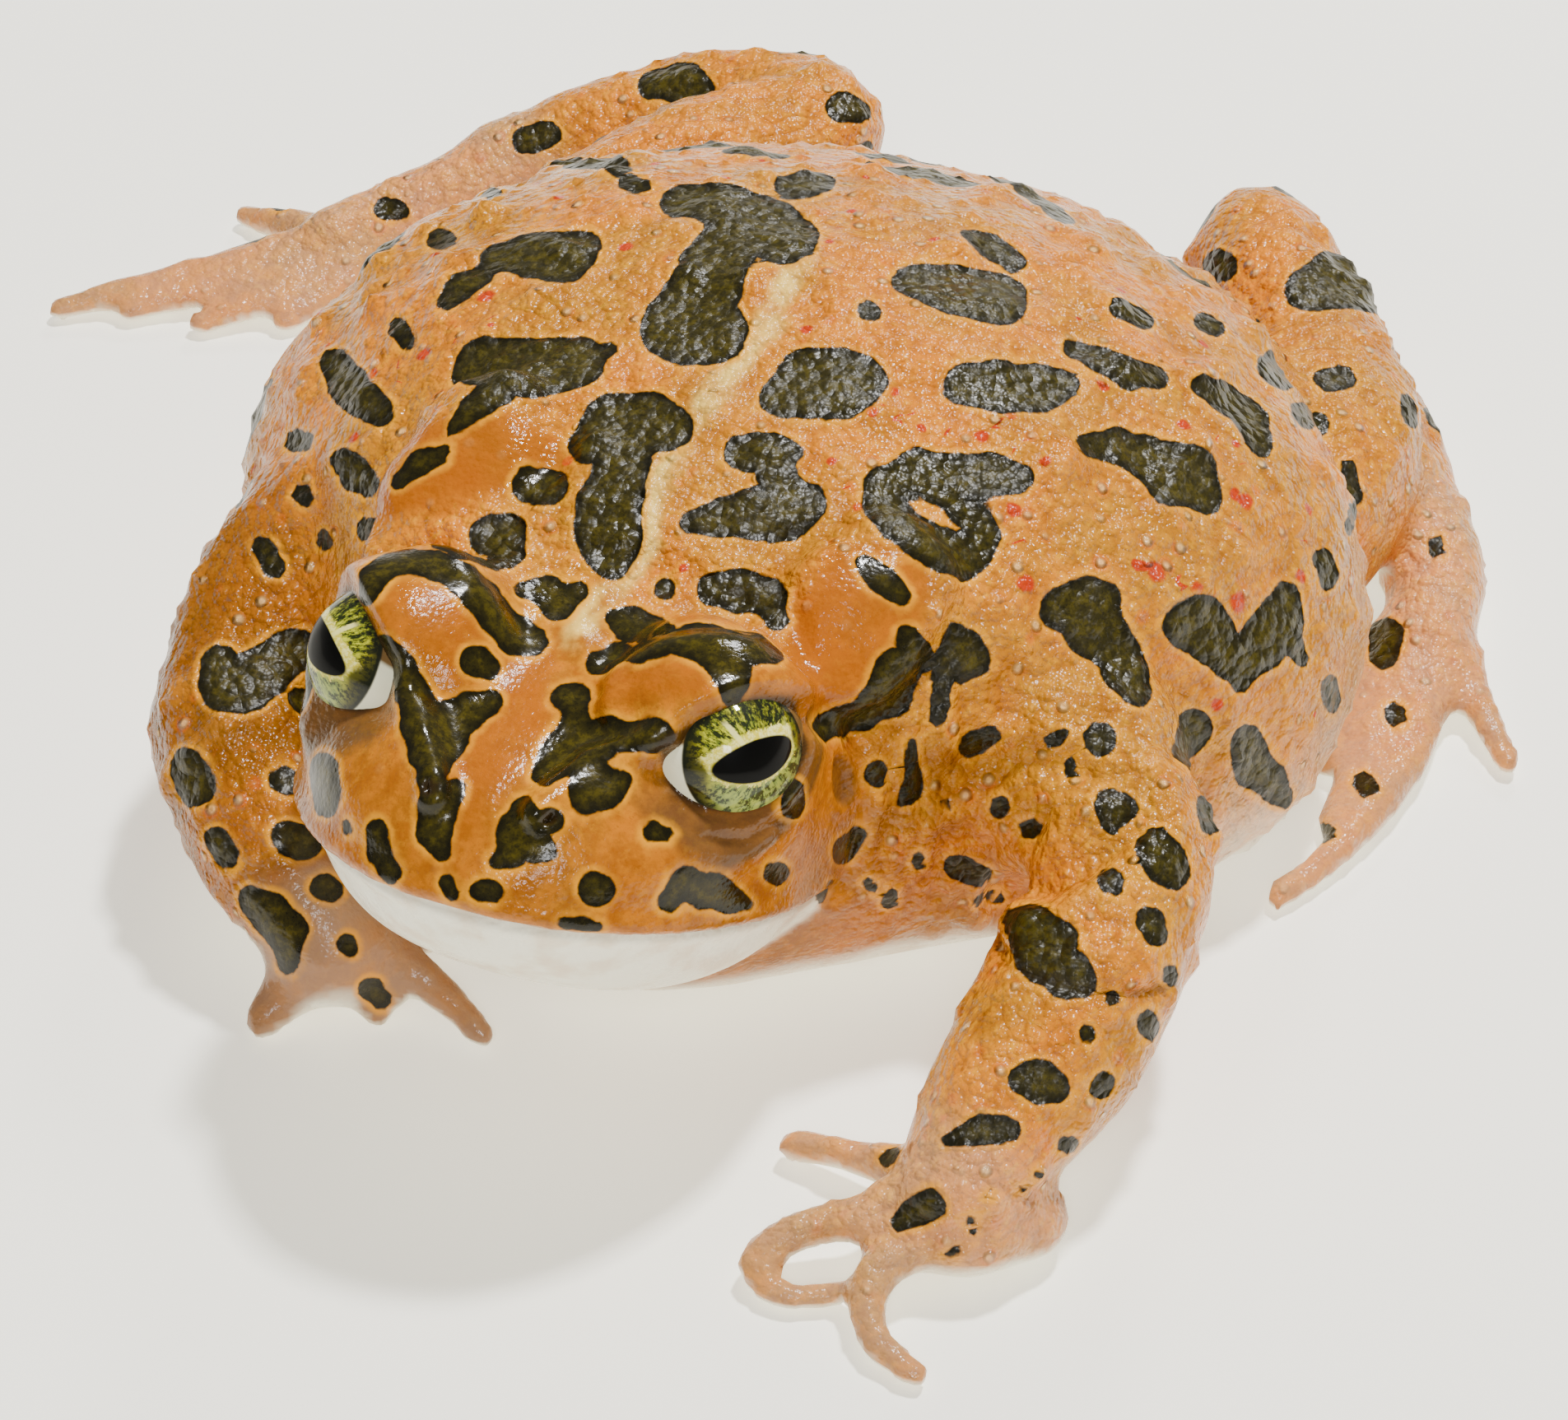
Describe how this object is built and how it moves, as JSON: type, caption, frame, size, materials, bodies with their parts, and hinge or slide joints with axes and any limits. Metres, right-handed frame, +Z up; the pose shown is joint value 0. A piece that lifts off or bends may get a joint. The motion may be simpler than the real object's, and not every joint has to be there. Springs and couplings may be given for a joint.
{
  "type": "european green toad",
  "caption": "Life-size european green toad, puffed up and sitting on folded hind legs, head raised, one arm forward; a still display model.",
  "frame": {"origin": "on the floor under the middle of the belly, at the flat where the belly rests", "axes": "+Z up; the toad looks along -Y; +X is its left side"},
  "size_m": [0.0881, 0.0866, 0.0272],
  "materials": {
    "skin": "moist, warty",
    "gland_skin": "moist, smooth",
    "throat_skin": "fine-grained",
    "eardrum_skin": "satin",
    "eye": "wet gloss"
  },
  "bodies": {
    "root": {"torso": "skin", "head": "skin", "lower_jaw": "throat_skin", "eye_left": "eye", "eye_right": "eye", "eardrum_left": "eardrum_skin", "eardrum_right": "eardrum_skin", "parotoid_left": "gland_skin", "parotoid_right": "gland_skin", "upper_arm_left": "skin", "upper_arm_right": "skin", "forearm_left": "skin", "forearm_right": "skin", "hand_left": "skin", "hand_right": "skin", "thigh_left": "skin", "thigh_right": "skin", "shank_left": "skin", "shank_right": "skin", "tarsus_left": "skin", "tarsus_right": "skin", "foot_left": "skin", "foot_right": "skin"}
  },
  "joints": []
}
